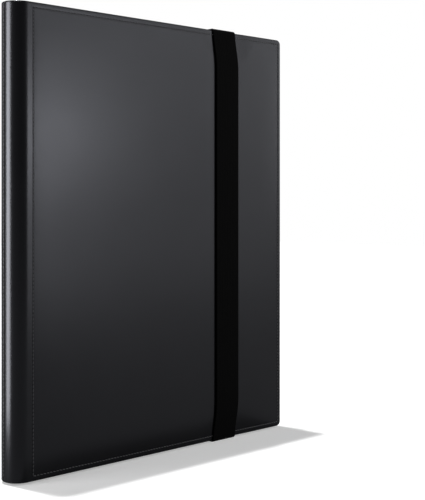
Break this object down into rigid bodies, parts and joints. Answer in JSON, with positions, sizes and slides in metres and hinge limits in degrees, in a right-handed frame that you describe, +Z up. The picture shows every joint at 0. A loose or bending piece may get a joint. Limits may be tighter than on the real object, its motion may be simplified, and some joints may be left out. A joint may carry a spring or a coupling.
{
  "type": "trading card binder",
  "caption": "Slim hard-cover trading card binder with a rounded spine, stitched leather-look covers, side-loading pocket pages and a wide elastic closing strap.",
  "frame": {"origin": "centre of the bounding box's bottom, on the surface that the closed binder stands on", "axes": "+X from the spine towards the fore edge, -Y out of the front cover, +Z up along the spine"},
  "size_m": [0.268, 0.0244, 0.3276],
  "materials": {
    "leather_skin": "fine-grained black leather-look skin, satin",
    "lining": "smooth black lining",
    "foam": "thin grey foam, hidden",
    "board": "grey-brown binder's board, hidden",
    "thread": "black polyester thread",
    "elastic": "black ribbed woven elastic",
    "page_black": "black polypropylene sheet, satin",
    "pocket_film": "clear polypropylene film, glossy"
  },
  "bodies": {
    "spine": {"spine_skin": "leather_skin", "spine_stiffener": "board", "spine_liner": "lining", "spine_stitching": "thread", "page_binding": "page_black", "page_margins": "page_black"},
    "front_cover": {"front_cover_skin": "leather_skin", "front_cover_padding": "foam", "front_cover_board": "board", "front_cover_liner": "lining", "front_cover_stitching": "thread"},
    "back_cover": {"back_cover_skin": "leather_skin", "back_cover_padding": "foam", "back_cover_board": "board", "back_cover_liner": "lining", "back_cover_stitching": "thread", "strap_end_tabs": "elastic"},
    "strap": {"elastic_strap": "elastic"},
    "page_01": {"page_01_backing": "page_black", "page_01_pockets": "pocket_film"},
    "page_02": {"page_02_backing": "page_black", "page_02_pockets": "pocket_film"},
    "page_03": {"page_03_backing": "page_black", "page_03_pockets": "pocket_film"},
    "page_04": {"page_04_backing": "page_black", "page_04_pockets": "pocket_film"},
    "page_05": {"page_05_backing": "page_black", "page_05_pockets": "pocket_film"},
    "page_06": {"page_06_backing": "page_black", "page_06_pockets": "pocket_film"},
    "page_07": {"page_07_backing": "page_black", "page_07_pockets": "pocket_film"},
    "page_08": {"page_08_backing": "page_black", "page_08_pockets": "pocket_film"},
    "page_09": {"page_09_backing": "page_black", "page_09_pockets": "pocket_film"},
    "page_10": {"page_10_backing": "page_black", "page_10_pockets": "pocket_film"},
    "page_11": {"page_11_backing": "page_black", "page_11_pockets": "pocket_film"},
    "page_12": {"page_12_backing": "page_black", "page_12_pockets": "pocket_film"},
    "page_13": {"page_13_backing": "page_black", "page_13_pockets": "pocket_film"},
    "page_14": {"page_14_backing": "page_black", "page_14_pockets": "pocket_film"},
    "page_15": {"page_15_backing": "page_black", "page_15_pockets": "pocket_film"},
    "page_16": {"page_16_backing": "page_black", "page_16_pockets": "pocket_film"},
    "page_17": {"page_17_backing": "page_black", "page_17_pockets": "pocket_film"},
    "page_18": {"page_18_backing": "page_black", "page_18_pockets": "pocket_film"},
    "page_19": {"page_19_backing": "page_black", "page_19_pockets": "pocket_film"},
    "page_20": {"page_20_backing": "page_black", "page_20_pockets": "pocket_film"}
  },
  "joints": [
    {"name": "front_cover_hinge", "type": "hinge", "parent": "spine", "child": "front_cover", "pos_m": [-0.12249, -0.01087, 0.1638], "axis": [0, 0, -1], "range_deg": [0, 90]},
    {"name": "back_cover_hinge", "type": "hinge", "parent": "spine", "child": "back_cover", "pos_m": [-0.12249, 0.01218, 0.1638], "axis": [0, 0, 1], "range_deg": [0, 90]},
    {"name": "strap_swing", "type": "hinge", "parent": "back_cover", "child": "strap", "pos_m": [0.06951, 0.00997, 0.1638], "axis": [0, 0, 1], "range_deg": [0, 180], "deforming": ["elastic_strap"]},
    {"name": "page_01_turn", "type": "hinge", "parent": "spine", "child": "page_01", "pos_m": [-0.11809, -0.00647, 0.1638], "axis": [0, 0, -1], "range_deg": [0, 90]},
    {"name": "page_02_turn", "type": "hinge", "parent": "spine", "child": "page_02", "pos_m": [-0.11734, -0.00573, 0.1638], "axis": [0, 0, -1], "range_deg": [0, 90]},
    {"name": "page_03_turn", "type": "hinge", "parent": "spine", "child": "page_03", "pos_m": [-0.11659, -0.00498, 0.1638], "axis": [0, 0, -1], "range_deg": [0, 90]},
    {"name": "page_04_turn", "type": "hinge", "parent": "spine", "child": "page_04", "pos_m": [-0.11584, -0.00422, 0.1638], "axis": [0, 0, -1], "range_deg": [0, 90]},
    {"name": "page_05_turn", "type": "hinge", "parent": "spine", "child": "page_05", "pos_m": [-0.11509, -0.00347, 0.1638], "axis": [0, 0, -1], "range_deg": [0, 90]},
    {"name": "page_06_turn", "type": "hinge", "parent": "spine", "child": "page_06", "pos_m": [-0.11434, -0.00272, 0.1638], "axis": [0, 0, -1], "range_deg": [0, 90]},
    {"name": "page_07_turn", "type": "hinge", "parent": "spine", "child": "page_07", "pos_m": [-0.11359, -0.00198, 0.1638], "axis": [0, 0, -1], "range_deg": [0, 90]},
    {"name": "page_08_turn", "type": "hinge", "parent": "spine", "child": "page_08", "pos_m": [-0.11284, -0.00122, 0.1638], "axis": [0, 0, -1], "range_deg": [0, 90]},
    {"name": "page_09_turn", "type": "hinge", "parent": "spine", "child": "page_09", "pos_m": [-0.11209, -0.00047, 0.1638], "axis": [0, 0, -1], "range_deg": [0, 90]},
    {"name": "page_10_turn", "type": "hinge", "parent": "spine", "child": "page_10", "pos_m": [-0.11134, 0.00028, 0.1638], "axis": [0, 0, -1], "range_deg": [0, 90]},
    {"name": "page_11_turn", "type": "hinge", "parent": "spine", "child": "page_11", "pos_m": [-0.11134, 0.00103, 0.1638], "axis": [0, 0, 1], "range_deg": [0, 90]},
    {"name": "page_12_turn", "type": "hinge", "parent": "spine", "child": "page_12", "pos_m": [-0.11209, 0.00178, 0.1638], "axis": [0, 0, 1], "range_deg": [0, 90]},
    {"name": "page_13_turn", "type": "hinge", "parent": "spine", "child": "page_13", "pos_m": [-0.11284, 0.00252, 0.1638], "axis": [0, 0, 1], "range_deg": [0, 90]},
    {"name": "page_14_turn", "type": "hinge", "parent": "spine", "child": "page_14", "pos_m": [-0.11359, 0.00328, 0.1638], "axis": [0, 0, 1], "range_deg": [0, 90]},
    {"name": "page_15_turn", "type": "hinge", "parent": "spine", "child": "page_15", "pos_m": [-0.11434, 0.00402, 0.1638], "axis": [0, 0, 1], "range_deg": [0, 90]},
    {"name": "page_16_turn", "type": "hinge", "parent": "spine", "child": "page_16", "pos_m": [-0.11509, 0.00477, 0.1638], "axis": [0, 0, 1], "range_deg": [0, 90]},
    {"name": "page_17_turn", "type": "hinge", "parent": "spine", "child": "page_17", "pos_m": [-0.11584, 0.00553, 0.1638], "axis": [0, 0, 1], "range_deg": [0, 90]},
    {"name": "page_18_turn", "type": "hinge", "parent": "spine", "child": "page_18", "pos_m": [-0.11659, 0.00628, 0.1638], "axis": [0, 0, 1], "range_deg": [0, 90]},
    {"name": "page_19_turn", "type": "hinge", "parent": "spine", "child": "page_19", "pos_m": [-0.11734, 0.00702, 0.1638], "axis": [0, 0, 1], "range_deg": [0, 90]},
    {"name": "page_20_turn", "type": "hinge", "parent": "spine", "child": "page_20", "pos_m": [-0.11809, 0.00777, 0.1638], "axis": [0, 0, 1], "range_deg": [0, 90]}
  ],
  "couplings": [
    {"joint": "page_01_turn", "follows": "front_cover_hinge", "ratio": 1},
    {"joint": "page_02_turn", "follows": "front_cover_hinge", "ratio": 1},
    {"joint": "page_03_turn", "follows": "front_cover_hinge", "ratio": 1},
    {"joint": "page_04_turn", "follows": "front_cover_hinge", "ratio": 1},
    {"joint": "page_05_turn", "follows": "front_cover_hinge", "ratio": 1},
    {"joint": "page_06_turn", "follows": "front_cover_hinge", "ratio": 1},
    {"joint": "page_07_turn", "follows": "front_cover_hinge", "ratio": 1},
    {"joint": "page_08_turn", "follows": "front_cover_hinge", "ratio": 1},
    {"joint": "page_09_turn", "follows": "front_cover_hinge", "ratio": 1},
    {"joint": "page_10_turn", "follows": "front_cover_hinge", "ratio": 1},
    {"joint": "page_11_turn", "follows": "back_cover_hinge", "ratio": 1},
    {"joint": "page_12_turn", "follows": "back_cover_hinge", "ratio": 1},
    {"joint": "page_13_turn", "follows": "back_cover_hinge", "ratio": 1},
    {"joint": "page_14_turn", "follows": "back_cover_hinge", "ratio": 1},
    {"joint": "page_15_turn", "follows": "back_cover_hinge", "ratio": 1},
    {"joint": "page_16_turn", "follows": "back_cover_hinge", "ratio": 1},
    {"joint": "page_17_turn", "follows": "back_cover_hinge", "ratio": 1},
    {"joint": "page_18_turn", "follows": "back_cover_hinge", "ratio": 1},
    {"joint": "page_19_turn", "follows": "back_cover_hinge", "ratio": 1},
    {"joint": "page_20_turn", "follows": "back_cover_hinge", "ratio": 1}
  ]
}
